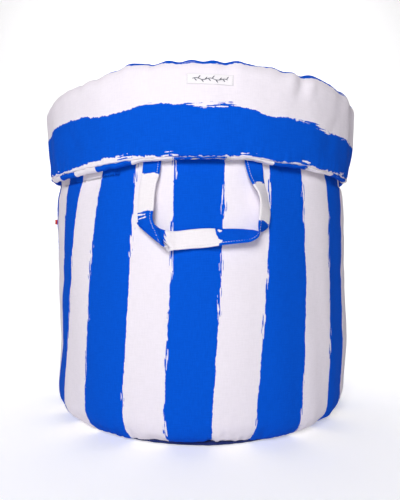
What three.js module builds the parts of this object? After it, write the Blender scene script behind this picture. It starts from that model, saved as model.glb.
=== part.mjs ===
// Round padded fabric storage basket, standing open.
// Three continuous layers (outer shell, wadding, lining) make the wall. At the top they fold outward
// together into a deep turned-down cuff, so the cuff's face is the lining, and the shell shows again
// only where it rolls round the cuff's lower edge. Two strap loops are sewn between wall and cuff.
// Units are millimetres, +Z is up and the origin is the middle of the underside. The front faces -Y.
import * as THREE from "three";

// ---- driving dimensions -------------------------------------------------------------------------
const BODY_RADIUS = 225;            // outer face of the wall at the bottom
const BODY_BULGE = 1.5;             // how far the wall bellies out half way up
const BASE_ROUND = 30;              // radius of the turn from wall to underside
const SANDWICH = 12.2;              // shell, wadding and lining together
const CLOTH = 0.8;                  // one layer of cotton
const GAP = 0.3;                    // air between pieces that touch
const FOLD_RADIUS = 220.3;          // where the crest of the fold stands
const FOLD_Z = 437;                 // height of the centre of the fold
const FOLD_INNER = 7;               // half the width of the empty space inside the fold
const LEAN_FROM_Z = 280;            // the wall starts to lean inward here, towards the fold
const CUFF_EDGE_Z = 338;            // lowest point of the cuff
const CUFF_EDGE_ROUND = 4.75;       // radius of the rolled lower edge of the cuff
const CUFF_EDGE_RADIUS = 235.5;     // cuff face just above its lower edge
const RIM_SEAM_Z = 346.8;           // where shell and lining meet on the cuff face
const RIM_SEAM_WIDTH = 1;
const RIM_SEAM_DEPTH = 1.4;
const BASE_SEAM_IN = 194.2;         // taped seam between base and wall
const BASE_SEAM_OUT = 196.6;
const SHELL_START = -86;            // where round the bottom turn the shell and the lining begin, in degrees
const LINING_START = -83;
const SEGMENTS = 40;                // facets round the basket
const WALL_HEIGHTS = [130, 250, 300, 340, 385];   // where the wall's profile has a corner
const BASE_STEPS = 3;               // steps in the turn from underside to wall
const FOLD_START = BASE_STEPS + 1 + WALL_HEIGHTS.length;

const STRAP_WIDTH = 22;
const STRAP_THICK = 2.6;
const STRAP_SPAN = 61;              // from the middle of the loop to the middle of each leg
const STRAP_OFFSET = 3;             // the loop sits this far to the right of the middle
const STRAP_CORNER = 22;            // radius of the loop's corners, on its centre line
const STRAP_LENGTH = 84;            // from the hinge line down to the centre line of the grip
const STRAP_TILT = THREE.MathUtils.degToRad(9);
const HINGE_Y = 219.6;              // the sewn ends bend here, just under the cuff
const HINGE_Z = 333;
const HINGE_CLEARANCE = 1.6;
const TAB_TOP_Z = 380;              // how far up the sewn ends reach behind the cuff
const STRAP_STEPS = 44;
const BEZIER_SHORT = 0.448;         // a quarter circle's handles stop this share short of the corner
const THREAD = 0.5;
const TOPSTITCH_INSET = 3;          // from the edge of the strap
const TACK = { width: 16, height: 16, belowTop: 12 };

const SIDE_SEAM_ANGLE = THREE.MathUtils.degToRad(-76);
const SIDE_SEAM = { width: 4, low: 36, high: 330 };

const LABEL = { width: 53, height: 12.5, thick: 0.6, z: 428, angle: 0.044, tilt: 0.025 };
const LABEL_STITCH_INSET = 1.5;
const SIDE_TAG = { height: 7, proud: 3, thick: 1.2, z: 285 };

// ---- finishes -----------------------------------------------------------------------------------
const blueCotton = { color: 0x0153d1, roughness: 0.85, metalness: 0 };
const whiteCotton = { color: 0xf0ebf3, roughness: 0.88, metalness: 0 };
const wadding = { color: 0xf4f4f0, roughness: 1, metalness: 0 };
const navyCotton = { color: 0x12285f, roughness: 0.9, metalness: 0 };
const whiteThread = { color: 0xf6f2f6, roughness: 0.7, metalness: 0 };
const labelWeave = { color: 0xf7f5f2, roughness: 0.6, metalness: 0 };
const redTape = { color: 0xb3202a, roughness: 0.7, metalness: 0 };

const basket = new THREE.Group();

function addMesh(parent, name, geometry, finish) {
  const mesh = new THREE.Mesh(geometry, new THREE.MeshStandardMaterial(finish));
  mesh.name = name;
  parent.add(mesh);
  return mesh;
}

// ---- the shape of the wall, as radius over height -----------------------------------------------
function wallOuterRadius(z) {
  const climb = (z - BASE_ROUND) / (FOLD_Z - BASE_ROUND);
  const lean = BODY_RADIUS - (FOLD_RADIUS - FOLD_INNER);
  const leaning = lean * THREE.MathUtils.smoothstep(z, LEAN_FROM_Z, FOLD_Z);
  return BODY_RADIUS + BODY_BULGE * Math.sin(Math.PI * climb) - leaning;
}

function wallInnerRadius(z) {
  return wallOuterRadius(z) - SANDWICH;
}

function cuffFaceRadius(z) {
  const foldFace = FOLD_RADIUS + FOLD_INNER + SANDWICH;
  return THREE.MathUtils.mapLinear(z, CUFF_EDGE_Z, FOLD_Z, CUFF_EDGE_RADIUS, foldFace);
}

// Points on an arc of the profile, from one angle to another, in degrees.
function arc(centreR, centreZ, radius, from, to, steps) {
  const points = [];
  for (let i = 0; i <= steps; i += 1) {
    const angle = THREE.MathUtils.degToRad(from + ((to - from) * i) / steps);
    points.push(new THREE.Vector2(centreR + radius * Math.cos(angle), centreZ + radius * Math.sin(angle)));
  }
  return points;
}

// The face of the shell: under the base, up the wall, through the inside of the fold,
// down the back of the cuff and round its lower edge.
function shellLine() {
  const baseCentre = BODY_RADIUS - BASE_ROUND;
  const edgeCentreR = CUFF_EDGE_RADIUS - CUFF_EDGE_ROUND;
  const edgeCentreZ = CUFF_EDGE_Z + CUFF_EDGE_ROUND;
  return [
    ...arc(baseCentre, BASE_ROUND, BASE_ROUND, SHELL_START, 0, BASE_STEPS),
    ...WALL_HEIGHTS.map((z) => new THREE.Vector2(wallOuterRadius(z), z)),
    ...arc(FOLD_RADIUS, FOLD_Z, FOLD_INNER, 180, 0, 4),
    ...arc(edgeCentreR, edgeCentreZ, CUFF_EDGE_ROUND, 180, 360, 4),
    new THREE.Vector2(CUFF_EDGE_RADIUS, RIM_SEAM_Z - RIM_SEAM_WIDTH / 2 - GAP),
  ];
}

// The face of the lining, in the same direction: across the corner of the base, up the inside of the wall,
// over the crest and down the face of the cuff.
function liningLine() {
  const baseCentre = BODY_RADIUS - BASE_ROUND;
  const seamTop = RIM_SEAM_Z + RIM_SEAM_WIDTH / 2 + GAP;
  return [
    ...arc(baseCentre, BASE_ROUND, BASE_ROUND - SANDWICH, LINING_START, 0, BASE_STEPS),
    ...WALL_HEIGHTS.map((z) => new THREE.Vector2(wallInnerRadius(z), z)),
    ...arc(FOLD_RADIUS, FOLD_Z, FOLD_INNER + SANDWICH, 180, 0, 6),
    new THREE.Vector2(cuffFaceRadius(seamTop), seamTop),
  ];
}

// Moves every point of a line sideways by a distance, to its left as one walks along it when positive.
function offsetLine(line, distance) {
  return line.map((point, i) => {
    const before = line[Math.max(i - 1, 0)];
    const after = line[Math.min(i + 1, line.length - 1)];
    const inward = new THREE.Vector2().subVectors(point, before).normalize();
    const outward = new THREE.Vector2().subVectors(after, point).normalize();
    const along = new THREE.Vector2().addVectors(inward, outward).normalize();
    const stretch = i > 0 && i < line.length - 1 ? 1 / Math.max(along.dot(outward), 0.5) : 1;
    return new THREE.Vector2(point.x - along.y * distance * stretch, point.y + along.x * distance * stretch);
  });
}

// A ring turned round the basket's axis from a closed outline of radius and height, listed anticlockwise.
function turned(outline) {
  const geometry = new THREE.LatheGeometry([...outline, outline[0].clone()], SEGMENTS);
  return geometry.rotateX(Math.PI / 2);
}

// A round slab about the axis, between two heights.
function slab(radius, bottom, top) {
  const outline = [
    new THREE.Vector2(0, bottom),
    new THREE.Vector2(radius, bottom),
    new THREE.Vector2(radius, top),
    new THREE.Vector2(0, top),
  ];
  return new THREE.LatheGeometry(outline, SEGMENTS).rotateX(Math.PI / 2);
}

function rectangleRing(inner, outer, bottom, top) {
  return turned([
    new THREE.Vector2(inner, bottom),
    new THREE.Vector2(outer, bottom),
    new THREE.Vector2(outer, top),
    new THREE.Vector2(inner, top),
  ]);
}

// ---- cloth layers -------------------------------------------------------------------------------
function addCovers() {
  const shell = shellLine();
  const lining = liningLine();
  addMesh(basket, "outer_shell", turned([...shell, ...offsetLine(shell, CLOTH).reverse()]), blueCotton);
  addMesh(basket, "lining", turned([...offsetLine(lining, -CLOTH), ...[...lining].reverse()]), whiteCotton);
}

// The wadding fills the space between the covers. It is laid in two lengths, which meet where the fold
// begins: there both of its sides pass their point number FOLD_START.
function addWadding() {
  const depth = CLOTH + GAP;
  const sides = [offsetLine(shellLine(), depth), offsetLine(liningLine(), -depth)];
  const length = (name, from, to, endZ) => {
    const [outer, inner] = sides.map((side) => {
      const points = side.slice(from, to).map((point) => point.clone());
      points[FOLD_START - from].y = endZ;
      return points;
    });
    addMesh(basket, name, turned([...outer, ...inner.reverse()]), wadding);
  };
  length("wall_wadding", 0, FOLD_START + 1, FOLD_Z - GAP / 2);
  length("cuff_wadding", FOLD_START, undefined, FOLD_Z + GAP / 2);
}

function addBase() {
  const discRadius = BASE_SEAM_IN - GAP;
  const waddingBottom = CLOTH + GAP;
  const liningTop = SANDWICH;
  const waddingTop = liningTop - CLOTH - GAP;
  addMesh(basket, "base_cloth", slab(discRadius, 0, CLOTH), navyCotton);
  addMesh(basket, "base_wadding", slab(discRadius, waddingBottom, waddingTop), wadding);
  addMesh(basket, "base_lining", slab(BASE_SEAM_OUT - GAP, liningTop - CLOTH, liningTop), whiteCotton);
  addMesh(basket, "base_seam", rectangleRing(BASE_SEAM_IN, BASE_SEAM_OUT, GAP, waddingTop), navyCotton);
}

function addRimSeam() {
  const low = RIM_SEAM_Z - RIM_SEAM_WIDTH / 2;
  const high = RIM_SEAM_Z + RIM_SEAM_WIDTH / 2;
  const inner = CUFF_EDGE_RADIUS - CLOTH / 4;
  addMesh(basket, "rim_seam", rectangleRing(inner, inner + RIM_SEAM_DEPTH, low, high), whiteThread);
}

// ---- flat pieces that lie on a round face -------------------------------------------------------
// A plate of width, thickness and height, laid on the face whose radius at each height is given.
// Its middle is at angle from the front and at height z. Its back stands off the face by lift.
function plateOnFace(size) {
  const { width, thick, z, angle, lift, faceRadius, tilt = 0, rows = 1, inward = false } = size;
  const columns = Math.max(1, Math.ceil(width / 12));
  const plate = new THREE.BoxGeometry(width, thick, size.height, columns, 1, rows);
  plate.rotateY(tilt);
  const position = plate.getAttribute("position");
  for (let i = 0; i < position.count; i += 1) {
    const height = z + position.getZ(i);
    const out = lift + thick / 2 - position.getY(i);
    const radius = faceRadius(height) + (inward ? out - 2 * lift - thick : out);
    const turn = angle + position.getX(i) / radius;
    position.setXYZ(i, radius * Math.sin(turn), -radius * Math.cos(turn), height);
  }
  return plate;
}

function addSideSeams() {
  const { width, low, high } = SIDE_SEAM;
  const seam = { width, thick: THREAD, angle: SIDE_SEAM_ANGLE, rows: 6 };
  const middle = { height: high - low, z: (low + high) / 2 };
  addMesh(
    basket,
    "shell_side_seam",
    plateOnFace({ ...seam, ...middle, lift: GAP, faceRadius: wallOuterRadius }),
    blueCotton,
  );
  addMesh(
    basket,
    "lining_side_seam",
    plateOnFace({ ...seam, ...middle, lift: 4 * GAP, faceRadius: wallInnerRadius, inward: true }),
    whiteCotton,
  );
}

function addSideTag() {
  const seamProud = 2 * GAP + THREAD;
  const tag = plateOnFace({
    width: SIDE_TAG.thick,
    thick: SIDE_TAG.proud,
    height: SIDE_TAG.height,
    z: SIDE_TAG.z,
    angle: SIDE_SEAM_ANGLE,
    lift: seamProud,
    faceRadius: wallOuterRadius,
  });
  addMesh(basket, "side_tag", tag, redTape);
}

function addRimLabel() {
  const face = { faceRadius: cuffFaceRadius, tilt: LABEL.tilt };
  const label = { ...LABEL, ...face, lift: GAP };
  addMesh(basket, "rim_label", plateOnFace(label), labelWeave);
  for (const [side, sign] of [["left", -1], ["right", 1]]) {
    const stitch = plateOnFace({
      ...face,
      width: THREAD,
      thick: THREAD,
      height: LABEL.height - 2 * LABEL_STITCH_INSET,
      z: LABEL.z,
      angle: LABEL.angle + (sign * (LABEL.width / 2 - LABEL_STITCH_INSET)) / CUFF_EDGE_RADIUS,
      lift: 2 * GAP + LABEL.thick + THREAD,
    });
    addMesh(basket, `label_stitch_${side}`, stitch, whiteThread);
  }
}

// ---- strap handles ------------------------------------------------------------------------------
// Centre line of a hanging loop in its own plane: down one leg, round a corner, along the grip and up again.
function loopPath() {
  const drop = -STRAP_LENGTH;
  const path = new THREE.CurvePath();
  const corner = STRAP_CORNER;
  const kink = BEZIER_SHORT * corner;
  const points = (list) => list.map(([x, z]) => new THREE.Vector3(x, z, 0));
  const line = (...ends) => path.add(new THREE.LineCurve3(...points(ends)));
  const bend = (...ends) => path.add(new THREE.CubicBezierCurve3(...points(ends)));
  line([-STRAP_SPAN, -HINGE_CLEARANCE], [-STRAP_SPAN, drop + corner]);
  const span = STRAP_SPAN;
  bend([-span, drop + corner], [-span, drop + kink], [-span + kink, drop], [-span + corner, drop]);
  line([-span + corner, drop], [span - corner, drop]);
  bend([span - corner, drop], [span - kink, drop], [span, drop + kink], [span, drop + corner]);
  line([span, drop + corner], [span, -HINGE_CLEARANCE]);
  return path;
}

// A band swept along the loop: across is its width in the loop's plane, shifted sideways by aside.
function band(thick, across, aside, out) {
  const section = new THREE.Shape();
  section.moveTo(-thick / 2, aside - across / 2);
  section.lineTo(thick / 2, aside - across / 2);
  section.lineTo(thick / 2, aside + across / 2);
  section.lineTo(-thick / 2, aside + across / 2);
  section.closePath();
  const sweep = { steps: STRAP_STEPS, extrudePath: loopPath(), bevelEnabled: false };
  const geometry = new THREE.ExtrudeGeometry(section, sweep);
  return geometry.translate(0, 0, out).rotateX(Math.PI / 2);
}

function addHandle(side, turn) {
  const around = new THREE.Group();
  around.rotation.z = turn;
  basket.add(around);
  const loop = new THREE.Group();
  loop.position.set(STRAP_OFFSET, -HINGE_Y, HINGE_Z);
  loop.rotation.x = -STRAP_TILT;
  around.add(loop);
  addMesh(loop, `${side}_handle_strap`, band(STRAP_THICK, STRAP_WIDTH, 0, 0), blueCotton);
  const stitchOut = STRAP_THICK / 2 + GAP + THREAD / 2;
  const stitchAside = STRAP_WIDTH / 2 - TOPSTITCH_INSET;
  addMesh(loop, `${side}_handle_topstitch`, band(THREAD, THREAD, stitchAside, stitchOut), whiteThread);

  const tabBottom = HINGE_Z + HINGE_CLEARANCE;
  const legs = [["left", -STRAP_SPAN + STRAP_OFFSET], ["right", STRAP_SPAN + STRAP_OFFSET]];
  for (const [leg, x] of legs) {
    const angle = Math.asin(x / wallOuterRadius(tabBottom));
    const tab = plateOnFace({
      width: STRAP_WIDTH,
      thick: STRAP_THICK,
      height: TAB_TOP_Z - tabBottom,
      z: (TAB_TOP_Z + tabBottom) / 2,
      angle,
      lift: GAP,
      faceRadius: wallOuterRadius,
      rows: 3,
    });
    addMesh(around, `${side}_handle_${leg}_end`, tab, whiteCotton);
    const tack = plateOnFace({
      width: TACK.width,
      thick: THREAD,
      height: TACK.height,
      z: TAB_TOP_Z - TACK.belowTop,
      angle,
      lift: 2 * GAP + STRAP_THICK,
      faceRadius: wallOuterRadius,
    });
    addMesh(around, `${side}_handle_${leg}_tack`, tack, whiteThread);
  }
}

addCovers();
addWadding();
addBase();
addRimSeam();
addSideSeams();
addSideTag();
addRimLabel();
addHandle("front", 0);
addHandle("rear", Math.PI);

export default basket;
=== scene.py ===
"""Round padded storage basket: printed cotton covers on wadding, a turned-down cuff and two strap handles.

Metres, in the CAD's frame: +Z up, the front faces -Y. Angles round the basket are degrees from the front,
positive towards +X. "Along" a profile is the length of cloth from the start of that profile.
"""

import math

import bpy
import numpy as np
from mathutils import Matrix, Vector


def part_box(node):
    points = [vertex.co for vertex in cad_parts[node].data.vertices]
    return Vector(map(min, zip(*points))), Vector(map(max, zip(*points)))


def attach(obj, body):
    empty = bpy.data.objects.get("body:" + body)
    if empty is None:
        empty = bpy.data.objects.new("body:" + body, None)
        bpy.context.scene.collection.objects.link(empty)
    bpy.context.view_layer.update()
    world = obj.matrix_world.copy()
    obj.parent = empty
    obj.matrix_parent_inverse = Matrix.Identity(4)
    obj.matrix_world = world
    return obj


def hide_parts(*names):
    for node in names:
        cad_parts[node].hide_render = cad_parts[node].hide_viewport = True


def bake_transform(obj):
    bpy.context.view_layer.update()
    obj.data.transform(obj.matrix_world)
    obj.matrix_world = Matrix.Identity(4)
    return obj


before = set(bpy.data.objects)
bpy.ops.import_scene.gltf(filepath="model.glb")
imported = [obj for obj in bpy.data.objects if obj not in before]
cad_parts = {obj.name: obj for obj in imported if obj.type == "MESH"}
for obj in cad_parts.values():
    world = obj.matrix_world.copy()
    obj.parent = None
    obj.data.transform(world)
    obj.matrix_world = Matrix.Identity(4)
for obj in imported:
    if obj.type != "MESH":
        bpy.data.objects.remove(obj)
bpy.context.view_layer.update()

MM = 0.001
rng = np.random.default_rng(45)

# ---- dimensions, from the CAD frame ----
LINING_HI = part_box("lining")[1]
SHELL_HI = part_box("outer_shell")[1]
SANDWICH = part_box("base_lining")[1].z  # thickness of wall and base
COVER = 1.1 * MM  # a cover's cloth, and the air behind it
BULGE = 1.5 * MM
BODY_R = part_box("wall_wadding")[1].x + COVER - BULGE
TOP_Z = LINING_HI.z
CUFF_R = LINING_HI.x
EDGE_R = SHELL_HI.x
EDGE_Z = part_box("cuff_wadding")[0].z - COVER
BASE_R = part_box("base_seam")[1].x
BASE_TURN = 38 * MM  # radius of the turn from wall to base
FOLD_INNER = 7 * MM
FOLD_OUTER = FOLD_INNER + SANDWICH
FOLD_R = CUFF_R - FOLD_OUTER
FOLD_Z = TOP_Z - FOLD_OUTER
LEAN_FROM_Z = 0.280  # the wall leans in from here up to the fold
ROLL = 4.9 * MM  # radius of the cuff's rolled lower edge
RIM_Z = EDGE_Z + 5.8 * MM  # the seam between shell and lining
RIM_GROOVE = 1.6 * MM
SIDE_SEAM = -76.0

COLUMNS = 270  # round the basket, in the simulation
FINE = 540  # round the basket, in the finished covers
MOST_MOVED = 3.5 * MM  # no point of a cover moves further in the simulation
DENTS_TO_Z = 0.400  # the dents of the wall fade out from here up to the fold
SHELL_OPEN = 0.36, 0.40  # metres of cloth up the shell where the cuff starts to hide it
CREST_ALONG, CREST_WIDE = 0.122, 0.036  # the crest's place and half width, in metres of the lining's cloth
INSIDE_ALONG = 0.15, 0.20  # metres of the lining's cloth where the inside of the wall starts

# How the sewn shape departs from a perfect turning, in (degrees, mm): the crest's rise and shift
# outward, and the same for the cuff's lower edge.
CREST_RISE = [(-75, 0), (-60, -4), (-50, -5), (-43, -7), (-36, -6.5), (-31, -6), (-26, -3), (-21, -2),
              (-16, -1), (-10, -2.5), (6, -2.5), (14, -3), (22, -4), (28, -4.5), (33, -4), (37, -1.5),
              (47, -1.5), (60, -2.5), (75, -2), (95, -2), (125, 1), (160, -3), (200, 1), (250, -2)]
CREST_SHIFT = [(-50, 0), (0, 0), (30, 0.5), (45, 2), (58, 1.5), (80, 0), (140, 1), (200, -1), (260, 1)]
RIM_RISE = [(-105, 8), (-90, 10), (-76, 7), (-68, 3), (-61, -2.5), (-52, -6), (-44, -6.6), (-35, -6),
            (-27, -5), (-21, -1.8), (-16, 0.9), (0, 1), (14, 1.5), (24, -2.5), (33, -2), (40, -3), (47, -2.5),
            (55, -3), (61, -1), (68, 4), (82, 9), (100, 8), (130, -4), (170, 0), (215, -5), (240, 0)]
RIM_OUT = [(-115, 0), (-100, -4), (-85, -4), (-70, -1), (-60, 0), (50, 0), (60, -2), (70, -4), (82, -6),
           (100, -4), (120, 0)]
# The rim seam sits on the outside of the roll, or is drawn down under it: (degrees, mm)
RIM_DROP = [(-62, -1), (-50, 0), (-28, -0.5), (-20, -2.5), (-15, -4.2), (14, -4.2), (24, -3), (40, -3.5),
            (62, -3.5), (100, -1), (150, -3), (200, -1), (250, -3.5)]
# The base cloth shows as a navy edge where the foot of the wall is drawn up: (degrees, mm)
FOOT_LIFT = [(-60, 0), (-40, 0.2), (-27, 0.4), (-22, 1.6), (-19, 1.2), (-16.5, 2.3), (-14, 1.9), (-6, 2.4),
             (0, 2.9), (3, 3.7), (7, 3.0), (14, 2.0), (18, 1.4), (22, 0.2), (60, 0), (120, 1.5), (160, 0.5),
             (200, 1.8), (260, 0.6)]
# Soft dents and swellings of the wall: (degrees, height, degrees wide, height wide, outward in mm)
DENTS = [(-74, 0.100, 22, 0.060, -5.0), (-75, 0.210, 22, 0.090, -3.5), (74, 0.110, 24, 0.050, 4.0),
         (-35, 0.075, 20, 0.045, 2.0), (20, 0.085, 24, 0.040, 2.0), (45, 0.210, 16, 0.080, -2.0),
         (0, 0.300, 22, 0.050, -1.5), (120, 0.160, 26, 0.080, 3.0), (165, 0.090, 22, 0.060, -3.0),
         (205, 0.250, 24, 0.070, 2.5), (250, 0.130, 22, 0.060, 3.0)]

# ---- the print: edges between white and blue stripes ----
# Across the shell, in degrees near the cuff, half way up and near the foot, from white to blue and back.
SHELL_EDGES = [(-53, -58.5, -68), (-43, -50, -56), (-33, -38.5, -40.5), (-20, -22, -24.2), (-7.7, -9, -10.8),
               (7.3, 6, 3.5), (21.5, 20.4, 17), (34, 36, 34), (47.5, 49.2, 48), (62, 62.3, 60.5)]
SHELL_HEIGHTS = (0.330, 0.200, 0.050)
EDGES_BEHIND = 16  # more edges on the side that the photo doesn't show
STRIPE = 57 * MM  # width of a stripe of the lining
# Round the lining, in mm of cloth up from the rim seam: the two edges of the first blue stripe and the next.
LINING_EDGES = [
    [(-62, 3), (-50, 3.5), (-44, 4), (-36, 6), (-28, 7.5), (-22, 5), (-17, 2.5), (-10, 1.2), (0, 1.0),
     (10, 1.3), (20, 1), (30, 2), (45, 2), (60, 1), (90, 3), (140, 1), (200, 3), (260, 2)],
    [(-52, 59.5), (-39, 57.5), (-30, 51.5), (-23, 53), (-14.5, 58), (0, 55), (8, 55), (14, 52), (20, 46.5),
     (26, 48.5), (34, 48), (42, 43.5), (60, 46), (100, 55), (150, 50), (200, 57), (260, 53)],
    [(-60, 119), (-38, 116), (-31, 112), (-22, 108.5), (-12, 107.5), (-4, 104.5), (6, 105), (14, 107),
     (17, 111), (22, 108), (30, 108), (38, 105), (48, 103.5), (60, 104), (90, 110), (150, 106), (210, 112),
     (260, 108)],
]


def smooth_step(x, low, high):
    t = np.clip((x - low) / (high - low), 0, 1)
    return t * t * (3 - 2 * t)


def turn_from(centre, degrees):
    """How far degrees are turned from a centre, the short way round."""
    return (degrees - centre + 180) % 360 - 180


def column_degrees(columns):
    return SIDE_SEAM + 360 * np.arange(columns) / columns


def round_points(r, a, z):
    """Points (columns, rows, 3) from their radius, their angle in radians and their height."""
    return np.stack(np.broadcast_arrays(r * np.sin(a), -r * np.cos(a), z), axis=2)


def around(pairs, angles):
    """A smooth closed curve round the basket through (degrees, value) pairs, at the given degrees."""
    keys = np.array([p[0] for p in pairs], float)
    values = np.array([p[1] for p in pairs], float)
    keys = np.concatenate([keys - 360, keys, keys + 360])
    values = np.tile(values, 3)
    a = turn_from(0, np.asarray(angles, float))
    i = np.clip(np.searchsorted(keys, a, side="right") - 1, 0, len(keys) - 2)
    t = (a - keys[i]) / (keys[i + 1] - keys[i])
    t = t * t * (3 - 2 * t)
    return values[i] * (1 - t) + values[i + 1] * t


# ---- the profile of the padded wall ----
def wall_outer(z):
    climb = (z - BASE_TURN) / (FOLD_Z - BASE_TURN)
    lean = (BODY_R - (FOLD_R - FOLD_INNER)) * smooth_step(z, LEAN_FROM_Z, FOLD_Z)
    return BODY_R + BULGE * np.sin(np.pi * np.clip(climb, 0, 1)) - lean


def arc(centre_r, centre_z, radius, start, end, steps=24):
    a = np.radians(np.linspace(start, end, steps))
    return np.column_stack([centre_r + radius * np.cos(a), centre_z + radius * np.sin(a)])


def shell_line():
    """Radius and height from the base seam up the wall, through the fold and round the cuff's lower edge."""
    start = math.degrees(math.asin((BASE_R - BODY_R + BASE_TURN) / BASE_TURN)) - 90
    z = np.linspace(BASE_TURN, FOLD_Z, 90)[1:-1]
    wall = np.column_stack([wall_outer(z), z])
    roll_r, roll_z = EDGE_R - ROLL, EDGE_Z + ROLL
    return np.vstack([
        arc(BODY_R - BASE_TURN, BASE_TURN, BASE_TURN, start, 0),
        wall,
        arc(FOLD_R, FOLD_Z, FOLD_INNER, 180, 0),
        arc(roll_r, roll_z, ROLL, 180, 372),
        [(EDGE_R - RIM_GROOVE, RIM_Z)],
    ])


def lining_line():
    """Radius and height from the rim seam up the cuff, over the crest and down inside to the base."""
    z = np.linspace(FOLD_Z, BASE_TURN, 90)[1:-1]
    inside = np.column_stack([wall_outer(z) - SANDWICH, z])
    return np.vstack([
        [(EDGE_R - RIM_GROOVE, RIM_Z)],
        [(EDGE_R - 0.2 * MM, RIM_Z + 1.5 * MM)],
        [(EDGE_R + 0.5 * MM, RIM_Z + 8 * MM)],
        arc(FOLD_R, FOLD_Z, FOLD_OUTER, 0, 180, 48),
        inside,
        arc(BODY_R - BASE_TURN, BASE_TURN, BASE_TURN - SANDWICH, 0, -84),
    ])


def lengths(line):
    """Length from the start of a line to each of its points."""
    return np.concatenate([[0], np.cumsum(np.linalg.norm(np.diff(line, axis=0), axis=1))])


def point_along(s, length, field):
    """The value of a field (points, numbers) at a length along its line."""
    return np.array([np.interp(s, length, field[:, k]) for k in range(field.shape[1])])


def walk(line, spacing):
    """Points along a line, as far apart as spacing(r, z) says, with their lengths along it."""
    length = lengths(line)
    marks, s = [0.0], 0.0
    while s < length[-1]:
        s += spacing(*point_along(s, length, line))
        marks.append(min(s, length[-1]))
    if len(marks) > 2 and marks[-1] - marks[-2] < 0.4 * (marks[-2] - marks[-3]):
        marks.pop(-2)
    marks = np.array(marks)
    return point_along(marks, length, line).T, marks


def shell_spacing(r, z):
    hidden = z > EDGE_Z + 12 * MM
    near_edge = r > FOLD_R + FOLD_INNER and z < EDGE_Z + 11 * MM
    return 1.6 * MM if near_edge else 8 * MM if hidden else 2.4 * MM if z < 20 * MM else 3.6 * MM


def lining_spacing(r, z):
    if r > EDGE_R - 3 * MM and z < RIM_Z + 6 * MM:
        return 1.6 * MM
    inside = r < FOLD_R and z < FOLD_Z - 25 * MM
    return 6 * MM if inside else 3.2 * MM


class Cover:
    """One cloth cover as a grid: columns round the basket and rows along its profile."""

    def __init__(self, line, spacing):
        self.profile, self.along = walk(line, spacing)

    def grid(self, columns):
        """Positions (columns, rows, 3) of the sewn shape, before the cloth is simulated."""
        column = column_degrees(columns)[:, None]
        r = np.broadcast_to(self.profile[:, 0], (columns, len(self.along))).copy()
        z = np.broadcast_to(self.profile[:, 1], r.shape).copy()
        crest = smooth_step(z, FOLD_Z - 30 * MM, FOLD_Z + 8 * MM)
        z += crest * MM * around(CREST_RISE, column)
        outer = smooth_step(r, FOLD_R - 14 * MM, FOLD_R + 6 * MM)
        r += crest * outer * MM * around(CREST_SHIFT, column)
        on_cuff = smooth_step(r, FOLD_R - 4 * MM, FOLD_R + 5 * MM) * (z > EDGE_Z - 10 * MM)
        rim = on_cuff * (1 - smooth_step(z, RIM_Z, RIM_Z + 55 * MM))
        drop = around(RIM_DROP, column) * np.exp(-(((z - RIM_Z) / (4.5 * MM)) ** 2)) * (r > EDGE_R - 7 * MM)
        z += (rim * around(RIM_RISE, column) + drop) * MM
        r += (0.25 * drop + rim * around(RIM_OUT, column)) * MM
        foot = (1 - smooth_step(z, 0, 26 * MM)) * (self.profile[0, 1] < 5 * MM)
        z += foot * MM * around(FOOT_LIFT, column)
        low = 1 - smooth_step(z, DENTS_TO_Z, FOLD_Z)
        for angle, height, wide, tall, out in DENTS:
            bump = np.exp(-((turn_from(angle, column) / wide) ** 2) - ((z - height) / tall) ** 2)
            r += bump * low * out * MM * (1 - on_cuff)
        return round_points(r, np.radians(column), z)


def grid_faces(columns, rows, closed=True, start=0, round_rows=False):
    """Quads between neighbouring grid points. The columns, the rows or both close on themselves."""
    i = np.arange(columns if closed else columns - 1)
    j = np.arange(rows if round_rows else rows - 1)
    ii, jj = np.meshgrid(i, j, indexing="ij")
    nxt, up = (ii + 1) % columns, (jj + 1) % rows
    quads = np.stack([ii * rows + jj, nxt * rows + jj, nxt * rows + up, ii * rows + up], axis=-1)
    return quads.reshape(-1, 4) + start


def tube_faces(rings, sides):
    """Faces of a tube made of rings, with both of its ends closed."""
    walls = grid_faces(rings, sides, closed=False, round_rows=True)[:, [0, 3, 2, 1]]
    last = (rings - 1) * sides
    return walls.tolist() + [list(range(sides))[::-1], [last + k for k in range(sides)]]


def build(name, points, faces, paint=None, uv=None, smooth=True):
    """A mesh from points and faces of any size; uv holds a pair for each corner of each face."""
    mesh = bpy.data.meshes.new(name)
    sizes = np.array([len(f) for f in faces], np.int32)
    flat = np.concatenate([np.asarray(f, np.int32) for f in faces])
    mesh.vertices.add(len(points))
    mesh.vertices.foreach_set("co", np.asarray(points, np.float32).ravel())
    mesh.loops.add(len(flat))
    mesh.loops.foreach_set("vertex_index", flat)
    mesh.polygons.add(len(sizes))
    mesh.polygons.foreach_set("loop_start", np.concatenate([[0], np.cumsum(sizes)[:-1]]).astype(np.int32))
    mesh.polygons.foreach_set("use_smooth", np.full(len(sizes), smooth))
    mesh.update(calc_edges=True)
    if paint is not None:
        painted = mesh.attributes.new("paint", "FLOAT", "POINT")
        painted.data.foreach_set("value", np.asarray(paint, np.float32).ravel())
    if uv is not None:
        layer = mesh.uv_layers.new(name="cloth")
        layer.data.foreach_set("uv", np.asarray(uv, np.float32).ravel())
    mesh.validate()
    obj = bpy.data.objects.new(name, mesh)
    bpy.context.scene.collection.objects.link(obj)
    return obj


# ---- cloth simulation ----
CLOTH = {"quality": 4, "mass": 0.3, "tension_stiffness": 12, "compression_stiffness": 12,
         "shear_stiffness": 4, "bending_stiffness": 0.25, "air_damping": 3, "shrink_min": -0.035,
         "uniform_pressure_force": 2.5}
FRAMES = 14


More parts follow.
